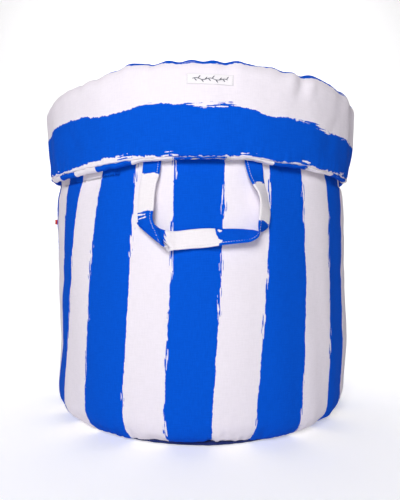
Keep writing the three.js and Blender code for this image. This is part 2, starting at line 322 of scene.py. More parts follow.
def pinned(cover, is_shell):
    """How firmly each row is held: seams and the part hidden behind the cuff stay, the rest is free."""
    r, z = cover.profile[:, 0], cover.profile[:, 1]
    hold = np.zeros(len(r))
    hold[0] = hold[-1] = 1
    if is_shell:
        in_roll = (r > FOLD_R + FOLD_INNER - 2 * MM) & (z > EDGE_Z + 4 * MM) & (r < EDGE_R - 6 * MM)
        behind = (z > EDGE_Z + 6 * MM) | in_roll
        hold[behind & (cover.along < cover.along[-1] - 14 * MM)] = 1
    return hold


def simulate(covers, grids):
    """Blows the covers out and lets the spare cloth pucker. Returns how far each point moved."""
    points, faces, hold, start = [], [], [], 0
    for cover, grid in zip(covers, grids):
        jitter = rng.normal(0, 0.25 * MM, grid.shape)
        points.append((grid + jitter).reshape(-1, 3))
        faces.append(grid_faces(*grid.shape[:2], start=start))
        hold.append(np.tile(pinned(cover, cover is shell), COLUMNS))
        start += len(points[-1])
    points, faces, hold = np.vstack(points), np.vstack(faces), np.concatenate(hold)
    obj = build("simulated", points, faces, smooth=False)
    group = obj.vertex_groups.new(name="hold")
    group.add([int(i) for i in np.nonzero(hold > 0.5)[0]], 1.0, "REPLACE")
    cloth = obj.modifiers.new("Cloth", "CLOTH")
    for key, value in CLOTH.items():
        setattr(cloth.settings, key, value)
    cloth.settings.vertex_group_mass = "hold"
    cloth.settings.use_pressure = True
    cloth.settings.effector_weights.gravity = 0
    cloth.collision_settings.use_collision = False
    scene = bpy.context.scene
    cloth.point_cache.frame_start, cloth.point_cache.frame_end = 1, FRAMES
    for number in range(1, FRAMES + 1):
        scene.frame_set(number)
    moved = np.zeros(len(points) * 3)
    evaluated = obj.evaluated_get(bpy.context.evaluated_depsgraph_get())
    evaluated.data.vertices.foreach_get("co", moved)
    scene.frame_set(1)
    moved = moved.reshape(-1, 3) - np.vstack([g.reshape(-1, 3) for g in grids])
    bpy.data.objects.remove(obj)
    cut = grids[0].size // 3
    return moved[:cut].reshape(grids[0].shape), moved[cut:].reshape(grids[1].shape)


def settle(moved, puckers=0.5, evened=0.94):
    """Keeps a share of a simulated grid's puckers, takes its even swelling away and caps what is left."""
    columns = moved.shape[0]
    angles = 2 * np.pi * np.arange(columns) / columns + math.radians(SIDE_SEAM)
    radial = np.stack([np.sin(angles), -np.cos(angles), np.zeros(columns)], axis=1)[:, None, :]
    out = (moved * radial).sum(axis=2, keepdims=True)
    even_out = out.mean(axis=0, keepdims=True)
    even_z = moved[:, :, 2:].mean(axis=0, keepdims=True)
    kept = puckers * (moved - evened * (even_out * radial + even_z * np.array([0, 0, 1])))
    for _ in range(3):  # no sharp steps from one row of the profile to the next
        kept[:, 1:-1] = 0.5 * kept[:, 1:-1] + 0.25 * (kept[:, :-2] + kept[:, 2:])
    size = np.linalg.norm(kept, axis=2, keepdims=True)
    return kept * np.minimum(1, MOST_MOVED / np.maximum(size, 1e-9))


def finer(field, columns):
    """A field (columns, rows, 3) round a closed ring, resampled to more columns without losing its curves."""
    spectrum = np.fft.rfft(field, axis=0)
    return np.fft.irfft(spectrum, n=columns, axis=0) * columns / field.shape[0]


# ---- small waves and creases that sewing leaves ----
def ripple(columns, along, low, high, seed, drift=30.0):
    """A random field round the basket made of waves between low and high cycles, one unit strong."""
    draw = np.random.default_rng(seed)
    a = 2 * np.pi * np.arange(columns)[:, None] / columns
    total = np.zeros((columns, len(along)))
    for cycles in np.linspace(low, high, 9).astype(int):
        phase, lean = draw.uniform(0, 2 * np.pi), draw.normal(0, drift)
        total += np.cos(cycles * a + phase + lean * along[None, :]) * draw.uniform(0.5, 1)
    return total / 2.1


def grid_normals(grid):
    across = np.roll(grid, -1, axis=0) - np.roll(grid, 1, axis=0)
    up = np.gradient(grid, axis=1)
    normal = np.cross(across, up)
    return normal / np.maximum(np.linalg.norm(normal, axis=2, keepdims=True), 1e-12)


# Creases pressed into the cuff: (degrees at the top, degrees lower down, from and to in mm of cloth above the
# rim seam, depth in mm, half width in degrees)
CUFF_CREASES = [
    (-13.5, -15, 62, 128, -1.5, 1.5), (-16.5, -20, 84, 122, -0.5, 1.8), (32.5, 29, 66, 122, -2.4, 1.7),
    (26, 20, 84, 116, -1.2, 1.8), (-34, -29, 80, 120, -1.3, 2.0), (47, 42, 10, 60, -1.1, 2.2),
    (8, 5, 92, 124, -1.0, 1.8), (-45, -39, 6, 46, -1.0, 2.4), (70, 76, 60, 120, -1.6, 2.2),
    (100, 96, 70, 125, -2.0, 2.0), (140, 145, 60, 120, -1.6, 2.4), (188, 184, 70, 124, -2.2, 2.0),
    (232, 238, 64, 120, -1.8, 2.2), (262, 258, 72, 118, -1.4, 2.0)]


def creased(cover, grid):
    degrees = column_degrees(grid.shape[0])[:, None]
    s = cover.along[None, :] / MM
    depth = np.zeros(grid.shape[:2])
    for top, low, start, stop, deep, half in CUFF_CREASES:
        share = np.clip((s - start) / (stop - start), 0, 1)
        turn = turn_from(low + (top - low) * share, degrees)
        fade = smooth_step(s, start, start + 0.45 * (stop - start))
        fade = fade * (1 - smooth_step(s, stop - 8, stop + 14))
        valley = np.exp(-((turn / half) ** 2))
        ridge = 0.45 * np.exp(-(((np.abs(turn) - 2.3 * half) / (1.1 * half)) ** 2))
        depth += deep * (valley - ridge) * fade
    return depth * MM


def waves(grid, along, layers):
    """Ripples on a cover: where they are, from and to how many cycles, seed, drift and height in mm."""
    return sum(where * ripple(len(grid), along, low, high, seed, drift) * tall * MM
               for where, low, high, seed, drift, tall in layers)


def finish_shell(cover, grid):
    """Gathers at the base seam, ripples at the rim and drag lines on the open wall."""
    normal = grid_normals(grid)
    s = cover.along
    foot = np.exp(-((s / 0.030) ** 1.6))
    rim = np.exp(-(((s[-1] - s) / 0.011) ** 1.5))
    open_wall = smooth_step(s, 0.0, 0.02) * (1 - smooth_step(s, *SHELL_OPEN))
    gather = 0.5 + 0.5 * ripple(len(grid), s, 3, 9, 71, 4)
    out = waves(grid, s, [(foot * np.clip(gather, 0.15, 1), 58, 118, 72, 9, 0.95),
                          (rim, 90, 170, 73, 20, 0.35), (open_wall, 9, 30, 74, 12, 0.55)])
    return grid + normal * (out * smooth_step(s, 0.0, 0.006))[:, :, None]


def finish_lining(cover, grid):
    """Ripples at the rim and over the crest, looser cloth inside, and the cuff's creases."""
    normal = grid_normals(grid)
    s = cover.along
    rim = np.exp(-((s / 0.013) ** 1.5)) * smooth_step(s, 0.0, 0.004)
    crest = np.exp(-(((s - CREST_ALONG) / CREST_WIDE) ** 2))
    inside = smooth_step(s, *INSIDE_ALONG)
    on_cuff = (1 - inside) * smooth_step(s, 0.004, 0.03)
    in_basket = inside * smooth_step(s[-1] - s, 0.0, 0.03)
    out = waves(grid, s, [(rim, 90, 170, 81, 20, 0.45), (crest, 24, 62, 82, 22, 0.75),
                          (on_cuff, 12, 34, 83, 20, 0.6), (in_basket, 10, 40, 84, 16, 0.9)])
    return grid + normal * out[:, :, None] + normal * creased(cover, grid)[:, :, None]


# ---- paint: signed distance in mm from the nearest edge of a stripe, positive in the blue ----
def signed(distances, period=np.inf):
    """Distances (..., edges) past every edge, the first edge turning white into blue."""
    d = np.asarray(distances)
    passed = (d > 0).sum(axis=-1)
    nearest = np.minimum(np.abs(d), np.abs(np.abs(d) - period)).min(axis=-1)
    return np.where(passed % 2 == 1, nearest, -nearest)


def shell_edges():
    """Every stripe's edge round the shell, at the three heights, from white to blue first."""
    edges = [list(e) for e in SHELL_EDGES]
    draw = np.random.default_rng(7)
    first, last = edges[-1], [e + 360 for e in edges[0]]
    for number in range(1, EDGES_BEHIND + 1):
        share = number / (EDGES_BEHIND + 1)
        lean = draw.normal(0, 0.7, 3)
        edges.append([a + (b - a) * share + w for a, b, w in zip(first, last, lean)])
    return np.array(edges)


def shell_paint(grid):
    degrees = np.degrees(np.arctan2(grid[:, :, 0], -grid[:, :, 1]))
    high, mid, low = SHELL_HEIGHTS
    z = np.clip(grid[:, :, 2], low, high)
    edges = shell_edges()
    radius = np.hypot(grid[:, :, 0], grid[:, :, 1])
    at = np.where((z > mid)[..., None],
                  edges[:, 1] + (edges[:, 0] - edges[:, 1]) * ((z - mid) / (high - mid))[..., None],
                  edges[:, 2] + (edges[:, 1] - edges[:, 2]) * ((z - low) / (mid - low))[..., None])
    first = at[..., :1]
    turned = (degrees[..., None] - first) % 360 + first
    return signed(turned - at, 360) * np.radians(1) * radius / MM


def lining_paint(cover, columns):
    degrees = column_degrees(columns)
    s = cover.along[None, :] / MM
    edges = [around(e, degrees)[:, None] for e in LINING_EDGES]
    wobble = ripple(columns, np.zeros(1), 3, 16, 91)
    while edges[-1].min() < s.max():
        edges.append(edges[-1] + STRIPE / MM + 2.0 * wobble)
    return signed(np.stack([s - e for e in edges], axis=-1))


# ---- covers and threads ----
BACK_STEP = 4  # the back of a cover has every fourth column


def cover_mesh(name, cover, grid, paint, across_is_round, thick=0.9 * MM):
    """A cover as closed cloth: its outer face, a coarser back and the two raw edges."""
    columns, rows = grid.shape[:2]
    normal = grid_normals(grid)
    back = (grid - normal * thick)[::BACK_STEP]
    coarse = len(back)
    pitch = 2 * np.pi * BODY_R / columns
    front_faces = grid_faces(columns, rows)
    back_faces = grid_faces(coarse, rows, start=columns * rows)[:, ::-1]
    i = np.arange(columns)[:, None] * np.ones((1, rows - 1))
    u = np.stack([i, i + 1, i + 1, i], axis=-1) * pitch
    s = cover.along
    v = np.broadcast_to(np.stack([s[:-1], s[:-1], s[1:], s[1:]], axis=-1), u.shape)
    uv = np.stack([u, v] if across_is_round else [v, u], axis=-1).reshape(-1, 2)
    faces = front_faces.tolist() + back_faces.tolist()
    for c in range(coarse):
        low = [((c * BACK_STEP + k) % columns) * rows for k in range(BACK_STEP + 1)]
        here, after = (columns + c) * rows, (columns + (c + 1) % coarse) * rows
        faces.append(low[::-1] + [here, after])
        faces.append([q + rows - 1 for q in low + [after, here]])
    rest = np.zeros((sum(len(face) for face in faces) - len(uv), 2))
    values = np.concatenate([paint.ravel(), paint[::BACK_STEP].ravel()])
    points = np.vstack([grid.reshape(-1, 3), back.reshape(-1, 3)])
    return build(name, points, faces, values, np.vstack([uv, rest]))


class Laid:
    """A finished cover's surface, to lay seams, straps and labels on."""

    def __init__(self, cover, grid):
        self.cover, self.grid, self.normal = cover, grid, grid_normals(grid)

    def at(self, degrees, along, proud=0.0):
        columns, rows = self.grid.shape[:2]
        c = ((degrees - SIDE_SEAM) % 360) / 360 * columns
        i, f = int(c), c - int(c)
        g = np.interp(along, self.cover.along, np.arange(rows))
        j = min(int(g), rows - 2)
        h = g - j
        total = []
        for field in (self.grid, self.normal):
            a = field[i % columns, j] * (1 - h) + field[i % columns, j + 1] * h
            b = field[(i + 1) % columns, j] * (1 - h) + field[(i + 1) % columns, j + 1] * h
            total.append(a * (1 - f) + b * f)
        return total[0] + total[1] * proud, total[1] / np.linalg.norm(total[1])

    def along_at(self, z):
        """Length of cloth up to a height, on the way up."""
        rows = self.cover.profile[:, 1]
        top = int(np.argmax(rows))
        return float(np.interp(z, rows[:top + 1], self.cover.along[:top + 1]))


def tube(points, radius, sides=6):
    """Rings round a line of points, with closed ends: (vertices, faces)."""
    p = np.asarray(points, float)
    t = np.gradient(p, axis=0)
    t /= np.linalg.norm(t, axis=1, keepdims=True)
    guide = np.array([0, 0, 1.0]) if abs(t[0, 2]) < 0.8 else np.array([1.0, 0, 0])
    a = np.cross(t, guide)
    a /= np.linalg.norm(a, axis=1, keepdims=True)
    b = np.cross(t, a)
    radii = np.full(len(p), radius)
    radii[0] = radii[-1] = radius * 0.55
    turn = 2 * np.pi * np.arange(sides) / sides
    spoke = np.cos(turn)[None, :, None] * a[:, None] + np.sin(turn)[None, :, None] * b[:, None]
    ring = p[:, None] + radii[:, None, None] * spoke
    return ring.reshape(-1, 3), tube_faces(len(p), sides)


def joined(parts):
    """Several (vertices, faces) as one."""
    points, faces, start = [], [], 0
    for p, f in parts:
        points.append(p)
        faces += [[q + start for q in face] for face in f]
        start += len(p)
    return np.vstack(points), faces


DIP = 0.25 * MM  # how deep a stitch dips at its ends
STITCHES = {"rim": (2.6, 0.9, 0.30), "label": (1.7, 0.6, 0.24), "topstitch": (2.2, 0.8, 0.33),
            "tack": (2.1, 0.7, 0.30)}  # length, gap and the thread's radius, in mm


def running_stitches(line, kind, normals=None):
    """Stitches along a line of points, each dipping into the cloth at both ends if normals are given."""
    line = np.asarray(line, float)
    length, gap, radius = (size * MM for size in STITCHES[kind])
    s = lengths(line)
    parts, q = [], gap
    while q + length < s[-1]:
        marks = np.linspace(q, q + length, 4)
        points = [point_along(mark, s, line) for mark in marks]
        if normals is not None:
            for end in (0, 3):
                points[end] = points[end] + point_along(marks[end], s, normals) * -DIP
        parts.append(tube(points, radius, 5))
        q += length + gap
    return joined(parts)


# ---- materials ----
BLUE = (0.0006, 0.083, 0.600, 1)
BLUE_THIN = (0.0015, 0.096, 0.655, 1)
WHITE = (0.885, 0.835, 0.900, 1)
NAVY = (0.010, 0.024, 0.150, 1)
THREAD = (0.800, 0.780, 0.800, 1)


class Shader:
    """A material's node tree, with the few nodes that the cloths need."""

    def __init__(self, name, roughness=0.88, sheen=0.15, specular=0.18):
        self.material = bpy.data.materials.new(name)
        self.material.use_nodes = True
        self.tree = self.material.node_tree
        self.bsdf = self.tree.nodes["Principled BSDF"]
        self.fill(self.bsdf, {"Roughness": roughness, "Sheen Weight": sheen, "Sheen Roughness": 0.6,
                              "Specular IOR Level": specular})

    def fill(self, node, values):
        """Sets a node's inputs, by name or number: a plain value is set and an output is linked."""
        for key, value in values.items():
            if hasattr(value, "links"):
                self.tree.links.new(value, node.inputs[key])
            else:
                node.inputs[key].default_value = value

    def node(self, kind, **values):
        made = self.tree.nodes.new(kind)
        for key, value in values.items():
            setattr(made, key, value)
        return made

    def math(self, operation, a, b, clamp=False):
        made = self.node("ShaderNodeMath", operation=operation, use_clamp=clamp)
        self.fill(made, {0: a, 1: b})
        return made.outputs[0]

    def times(self, a, b, clamp=False):
        return self.math("MULTIPLY", a, b, clamp)

    def plus(self, a, b, clamp=False):
        return self.math("ADD", a, b, clamp)

    def minus(self, a, b, clamp=False):
        return self.math("SUBTRACT", a, b, clamp)

    def place(self):
        return self.node("ShaderNodeTexCoord").outputs["Object"]

    def noise(self, source, scale, detail=2.0, rough=0.5):
        mapping = self.node("ShaderNodeMapping")
        self.fill(mapping, {"Scale": scale, "Vector": source})
        made = self.node("ShaderNodeTexNoise")
        self.fill(made, {"Scale": 1.0, "Detail": detail, "Roughness": rough, "Vector": mapping.outputs[0]})
        return made.outputs["Fac"]

    def mix(self, share, a, b):
        """A colour between two, whose sockets are numbers 6 and 7 of the node."""
        made = self.node("ShaderNodeMix", data_type="RGBA")
        self.fill(made, {0: share, 6: a, 7: b})
        return made.outputs[2]

    def paint(self, colour):
        self.fill(self.bsdf, {"Base Color": colour})

    def bump(self, height, strength, distance):
        made = self.node("ShaderNodeBump")
        self.fill(made, {"Strength": strength, "Distance": distance, "Height": height})
        self.fill(self.bsdf, {"Normal": made.outputs[0]})

    def weave(self, source, period, strength):
        """Threads over and under each other, with a few thicker ones."""
        heights = []
        for axis in ("X", "Y"):
            wave = self.node("ShaderNodeTexWave", bands_direction=axis, wave_profile="SIN")
            self.fill(wave, {"Scale": 2 * math.pi / (20 * period), "Distortion": 0.6, "Vector": source})
            heights.append(wave.outputs["Fac"])
        thick = self.noise(source, (1 / (9 * period), 1 / (2.2 * period), 1 / (9 * period)), 1.5)
        self.bump(self.plus(self.times(*heights), thick), strength, 0.25 * MM)


def darker(colour, share):
    return tuple(c * share for c in colour[:3]) + (1,)


def printed_cotton(name, white=WHITE, wander=3.0, dry=1.0, bristle=2.2):
    """Cotton brushed with blue stripes: uneven edges, dry streaks and slightly mottled paint.

    The stripe's edge wanders slowly and has bristles, both in mm. In dry patches near an edge the paint is
    lifted off in streaks.
    """
    made = Shader(name, roughness=0.95, sheen=0.0, specular=0.06)
    times, plus, minus = made.times, made.plus, made.minus
    uv = made.node("ShaderNodeUVMap", uv_map="cloth").outputs["UV"]
    paint = made.node("ShaderNodeAttribute", attribute_name="paint").outputs["Fac"]
    slow = times(minus(made.noise(uv, (10, 45, 1)), 0.5), wander)
    ragged = times(minus(made.noise(uv, (150, 210, 1), 3), 0.5), bristle)
    edge = plus(plus(paint, slow), ragged)
    streak = made.noise(uv, (520, 38, 1), 2)
    patch = made.noise(uv, (12, 18, 1), 1)
    near = minus(1.0, times(made.math("ABSOLUTE", edge, 0.0), 0.12), clamp=True)
    dry_here = times(minus(patch, 0.49, clamp=True), 8.0 * dry, clamp=True)
    lifted = times(times(near, dry_here), times(minus(streak, 0.49), 44.0 * dry))
    mask = plus(times(minus(edge, lifted), 2.0), 0.5, clamp=True)
    slubs = plus(made.noise(uv, (90, 900, 1), 2), made.noise(uv, (900, 90, 1), 2))
    mottle = times(minus(slubs, 0.80, clamp=True), 2.4, clamp=True)
    whites = made.mix(mottle, white, darker(white, 0.955))
    made.paint(made.mix(mask, whites, made.mix(mottle, BLUE, BLUE_THIN)))
    made.weave(uv, 0.8 * MM, 0.16)
    return made.material


def plain_cotton(name, colour, period=0.9 * MM, variation=0.12):
    made = Shader(name)
    source = made.place()
    made.paint(made.mix(made.noise(source, (60, 60, 60), 3), colour, darker(colour, 1 - variation)))
    made.weave(source, period, 0.2)
    return made.material


def spun_thread(name, colour, period=0.5 * MM):
    made = Shader(name, roughness=0.7, sheen=0.1, specular=0.3)
    ply = made.noise(made.place(), (1 / period, 1 / period, 1 / period), 1)
    made.paint(made.mix(ply, colour, darker(colour, 0.86)))
    made.bump(ply, 0.3, 0.1 * MM)
    return made.material


def fibre_wadding(name):
    made = Shader(name, roughness=0.95, sheen=0.4, specular=0.1)
    tuft = made.noise(made.place(), (300, 300, 300), 5, 0.7)
    made.paint(made.mix(tuft, (0.86, 0.85, 0.82, 1), (0.70, 0.69, 0.66, 1)))
    made.bump(tuft, 0.6, 1.0 * MM)
    return made.material


IN_SLOT = {
    "shell_cotton": printed_cotton("shell_cotton"),
    "lining_cotton": printed_cotton("lining_cotton", wander=3.4, bristle=6.0),
    "strap_cotton": printed_cotton("strap_cotton", white=(0.90, 0.86, 0.89, 1), wander=2.2, dry=0.7),
    "base_cotton": plain_cotton("base_cotton", NAVY),
    "wadding": fibre_wadding("wadding"),
    "thread": spun_thread("thread", THREAD),
    "label_weave": plain_cotton("label_weave", (0.90, 0.87, 0.90, 1), period=0.45 * MM, variation=0.04),
    "tag_tape": plain_cotton("tag_tape", (0.62, 0.045, 0.03, 1), period=0.5 * MM, variation=0.2),
}
DARK_THREAD = spun_thread("dark_thread", (0.045, 0.055, 0.10, 1))


def add_piece(obj, body, slot, replaces=(), material=None):
    """Gives a finished piece the material of its slot, or the one given, and lets it ride on its body, if it
    has just one.
    """
    obj.data.materials.append(material or IN_SLOT[slot])
    if replaces:
        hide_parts(*replaces)
    if body:
        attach(obj, body)
    return obj


# ---- the two covers ----
shell = Cover(shell_line(), shell_spacing)
lining = Cover(lining_line(), lining_spacing)


def make_covers():
    """Sews the covers, fills them by simulation and adds the fine gathers."""
    grids = [shell.grid(FINE), lining.grid(FINE)]
    moved = simulate([shell, lining], [shell.grid(COLUMNS), lining.grid(COLUMNS)])
    grids = [g + finer(settle(m), FINE) for g, m in zip(grids, moved)]
    return finish_shell(shell, grids[0]), finish_lining(lining, grids[1])


shell_grid, lining_grid = make_covers()
on_shell, on_lining = Laid(shell, shell_grid), Laid(lining, lining_grid)

shell_cover = cover_mesh("shell_cover", shell, shell_grid, shell_paint(shell_grid), True)
add_piece(shell_cover, "basket", "shell_cotton", ["outer_shell"])
lining_cover = cover_mesh("lining_cover", lining, lining_grid, lining_paint(lining, FINE), False)
add_piece(lining_cover, "basket", "lining_cotton", ["lining"])


def wadding_piece():
    """The wadding as one loop of padding, just inside both covers."""
    step = 3
    layers = [g[::step] - grid_normals(g)[::step] * 2.6 * MM for g in (shell_grid, lining_grid)]
    ring = np.concatenate([layers[0][:, 1:-1], layers[1][:, 1:-1]], axis=1)
    return build("wadding_loop", ring.reshape(-1, 3), grid_faces(*ring.shape[:2], round_rows=True))


wadding_loop = add_piece(wadding_piece(), "basket", "wadding", ["wall_wadding", "cuff_wadding"])


# ---- the base ----
def disc(name, radius, low, high, crown, seed, rings=46, sectors=180, stripes=False):
    """A round closed piece between two heights, its edges turned over and its faces slightly puckered."""
    r = radius * np.sin(np.linspace(0, np.pi / 2, rings))
    a = 2 * np.pi * np.arange(sectors) / sectors
    half = (high - low) / 2
    puckers = ripple(sectors, r, 20, 70, seed, 40) * (np.exp(-(((radius - r) / 0.022) ** 2)) * 0.5 * MM)
    waves = ripple(sectors, r, 2, 9, seed + 1, 30) * 0.5 * crown * (r / radius)
    swell = crown * (1 - (r / radius) ** 4) + waves
    edge = half * np.clip(np.sqrt(np.maximum(0, 1 - np.clip((r - radius + half) / half, 0, 1) ** 2)), 0.15, 1)
    middle = (low + high) / 2
    top = round_points(r, a[:, None], middle + edge + (swell + puckers))
    bottom = round_points(r, a[:, None], middle - edge)
    points = np.vstack([np.vstack([layer[:, 1:].reshape(-1, 3), layer[:1, 0]]) for layer in (top, bottom)])
    first = (np.arange(sectors) * (rings - 1)).tolist()
    pairs = list(zip(first, first[1:] + first[:1]))
    quads, centre = grid_faces(sectors, rings - 1), sectors * (rings - 1)
    rim, under = rings - 2, centre + 1
    faces = quads[:, ::-1].tolist() + [[here, after, centre] for here, after in pairs]
    faces += (quads + under).tolist()
    faces += [[centre + under, after + under, here + under] for here, after in pairs]
    faces += [[after + rim, here + rim, here + rim + under, after + rim + under] for here, after in pairs]
    paint = uv = None
    if stripes:
        turned = points[:, 0] * 0.94 + points[:, 1] * 0.34
        within = (turned / STRIPE + 0.3) % 2
        distance = np.minimum(np.abs(within - 1), np.minimum(within, 2 - within)) * STRIPE / MM
        paint = np.where(within < 1, distance, -distance)
        cloth = np.column_stack([turned, points[:, 1] * 0.94 - points[:, 0] * 0.34])
        uv = cloth[np.concatenate([np.asarray(f) for f in faces])]
    return build(name, points, faces, paint, uv)


base_lo, base_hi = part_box("base_wadding")
base_pad = disc("base_pad", base_hi.x, base_lo.z, base_hi.z - 1.0 * MM, 1.2 * MM, 101)
add_piece(base_pad, "basket", "wadding", ["base_wadding"])
base_cover = disc("base_cover", BASE_R - 0.5 * MM, 0.1 * MM, 1.0 * MM, 0.0, 103)
add_piece(base_cover, "basket", "base_cotton", ["base_cloth"])
floor_lining = disc("floor_lining", BASE_R + 2 * MM, SANDWICH - 0.9 * MM, SANDWICH, 3.0 * MM, 105,
                    stripes=True)
add_piece(floor_lining, "basket", "lining_cotton", ["base_lining"])


def foot_piping():
    """The navy base cloth turned up into the base seam: a thin fold, thick and thin round the basket."""
    sectors, sides = 480, 8
    a = 2 * np.pi * np.arange(sectors) / sectors
    degrees = np.degrees(a)
    lift = around(FOOT_LIFT, degrees)
    fat = 1.3 + 0.42 * lift + 0.2 * ripple(sectors, np.zeros(1), 60, 110, 111)[:, 0]
    turn = 2 * np.pi * np.arange(sides) / sides
    r = BASE_R + (1.4 * lift[:, None] + 2.6 * fat[:, None] * (np.cos(turn)[None, :] - 0.8)) * MM
    z = (fat[:, None] + fat[:, None] * np.sin(turn)[None, :]) * MM
    z = np.maximum(z, 0.1 * MM)
    points = round_points(r, a[:, None], z)
    return build("foot_piping", points.reshape(-1, 3), grid_faces(sectors, sides, round_rows=True))


add_piece(foot_piping(), "basket", "base_cotton", ["base_seam"])


# ---- seams, tag and label ----
def ring_of_stitches():
    """The rim seam's thread, down in the groove between shell and lining."""
    line = [on_lining.at(a, 0.0, 0.1 * MM)[0] for a in np.linspace(0, 360, 721)]
    return build("rim_thread", *running_stitches(line, "rim"))


add_piece(ring_of_stitches(), "basket", "thread", ["rim_seam"])


def side_seam(laid, start, stop, width=3.2 * MM):
    """A felled seam up the cover: a low flat ridge that follows the cloth, pulled in along its stitches."""
    marks = np.linspace(start, stop, 120)
    offsets = np.array([-1.0, -0.75, -0.3, 0.0, 0.3, 0.75, 1.0])
    heights = np.array([0.05, 0.55, 0.75, 0.35, 0.75, 0.55, 0.05])
    points = []
    places = SIDE_SEAM + np.degrees(offsets * width / 2 / BODY_R)
    for n, s in enumerate(marks):
        pucker = 1 + 0.12 * math.sin(n * 1.9) + 0.1 * math.sin(n * 0.77)
        points += [laid.at(a, s, h * MM * pucker)[0] for a, h in zip(places, heights)]
        points += [laid.at(a, s, -0.5 * MM)[0] for a in places[::-1]]
    sides = len(offsets) * 2
    return np.array(points), tube_faces(len(marks), sides), np.repeat(marks, sides)


points, faces, along = side_seam(on_shell, 0.012, on_shell.along_at(EDGE_Z + 25 * MM))
uv = np.array([(0.0, along[q]) for face in faces for q in face])
seam = build("shell_seam", points, faces, shell_paint(points[None]), uv)
add_piece(seam, "basket", "shell_cotton", ["shell_side_seam"])

points, faces, along = side_seam(on_lining, 0.004, float(lining.along[-1]) - 0.012)
edges = [float(around(e, [SIDE_SEAM])[0]) for e in LINING_EDGES]
edges += [edges[-1] + STRIPE / MM * k for k in range(1, 9)]
uv = np.zeros((sum(len(face) for face in faces), 2))
seam = build("lining_seam", points, faces, signed(along[:, None] / MM - np.array(edges)), uv)
add_piece(seam, "basket", "lining_cotton", ["lining_side_seam"])


def folded_tag():
    """A red tape tag folded in two and caught in the shell's side seam."""
    low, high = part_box("side_tag")
    height, middle = high.z - low.z, (low.z + high.z) / 2
    points, count = [], 9
    for n in range(count):
        s = on_shell.along_at(middle + height * (n / (count - 1) - 0.5))
        root, normal = on_shell.at(SIDE_SEAM, s)
        side = np.array([math.cos(math.radians(SIDE_SEAM)), math.sin(math.radians(SIDE_SEAM)), 0])
        droop = 0.25 * MM * math.sin(n * 0.9)
        loop = [(-0.6, 1.1), (1.5, 1.0), (3.4, 0.75), (4.2, 0.0), (3.4, -0.75), (1.5, -1.0), (-0.6, -1.1)]
        loop += [(x - (0.5 if x > 4 else 0), y * 0.35) for x, y in loop[::-1]]
        points += [root + normal * (x * MM) + side * (y * 0.6 * MM + droop * max(x, 0) / 4) for x, y in loop]
    k = 14
    faces = grid_faces(count, k, closed=False, round_rows=True).tolist()
    for i, flip in ((0, False), (count - 1, True)):
        for j in range(6):
            quad = [i * k + j, i * k + j + 1, i * k + 12 - j, i * k + 13 - j]
            faces.append(quad[::-1] if flip else quad)
    return build("seam_tag", points, faces)


add_piece(folded_tag(), "basket", "tag_tape", ["side_tag"])

LABEL_WIDE, LABEL_TALL = 53 * MM, 12.5 * MM
LABEL_ANGLE, LABEL_Z, LABEL_TILT = 2.6, 0.4275, math.radians(-1.4)


def on_label(x, y, proud):
    """A point on the label, x and y from its centre, on the cuff's face."""
    c, s = math.cos(LABEL_TILT), math.sin(LABEL_TILT)
    aside, up = x * c - y * s, x * s + y * c
    angle = LABEL_ANGLE + math.degrees(aside / CUFF_R)
    return on_lining.at(angle, on_lining.along_at(LABEL_Z) + up, proud)[0]


def label():
    """A woven label, its ends folded under, lying on the cuff."""
    across, up = 45, 13
    xs, ys = np.linspace(-0.5, 0.5, across) * LABEL_WIDE, np.linspace(-0.5, 0.5, up) * LABEL_TALL
    top, under = [], []
    for x in xs:
        for y in ys:
            edge = min(LABEL_WIDE / 2 - abs(x), LABEL_TALL / 2 - abs(y)) / MM
            lift = 0.45 + 0.3 * min(edge, 1.0) + 0.12 * math.sin(x * 190 + 1) * math.sin(y * 260)
            top.append(on_label(x, y, lift * MM))
            under.append(on_label(x, y, 0.15 * MM))
    count = len(top)
    quads = grid_faces(across, up, closed=False)
    faces = [list(q) for q in quads] + [list(q[::-1] + count) for q in quads]
    rim = [i * up for i in range(across)] + [(across - 1) * up + j for j in range(1, up)]
    rim += [i * up + up - 1 for i in range(across - 2, -1, -1)] + [j for j in range(up - 2, 0, -1)]
    faces += [[rim[n], rim[n - 1], rim[n - 1] + count, rim[n] + count] for n in range(len(rim))]
    return build("cuff_label", top + under, faces)


add_piece(label(), "basket", "label_weave", ["rim_label"])


def label_mark():
    """A plain embroidered ornament on the label: a row of leaves on a waving stem."""
    def embroidered(line, radius, sides):
        return tube([on_label(x * MM, y * MM, 1.0 * MM) for x, y in line], radius, sides)

    def stem(x):
        return 1.1 * math.sin((x + 20) / 40 * 5 * math.pi)

    parts = [embroidered([(x, stem(x)) for x in np.linspace(-20, 20, 60)], 0.30 * MM, 5)]
    for k in range(10):
        x0, side = -18 + 4 * k, 1 if k % 2 else -1
        leaf = [(x0 + 2.6 * t, stem(x0) + side * 3.1 * t) for t in (0.1, 0.4, 0.75, 1)]
        parts.append(embroidered(leaf, 0.48 * MM, 6))
    return build("label_ornament", *joined(parts))


add_piece(label_mark(), "basket", "thread", material=DARK_THREAD)

for side, end in ((-1, "left"), (1, "right")):
    x = side * (LABEL_WIDE / 2 - 1.4 * MM)
    line = [on_label(x, y, 0.9 * MM) for y in np.linspace(-0.5, 0.5, 30) * (LABEL_TALL - 1 * MM)]
    stitches = build(f"label_stitches_{end}", *running_stitches(line, "label"))
    add_piece(stitches, "basket", "thread", [f"label_stitch_{end}"])


# ---- the strap handles ----
STRAP_WIDE, STRAP_THICK = 22.4 * MM, 2.6 * MM
TOPSTITCH_IN = 3 * MM
SEWN_LEFT, SEWN_RIGHT = -14.6, 16.0  # degrees from the handle's own middle
LEAN_SPREAD = 20.0  # mm of strap over which its cross lines straighten again


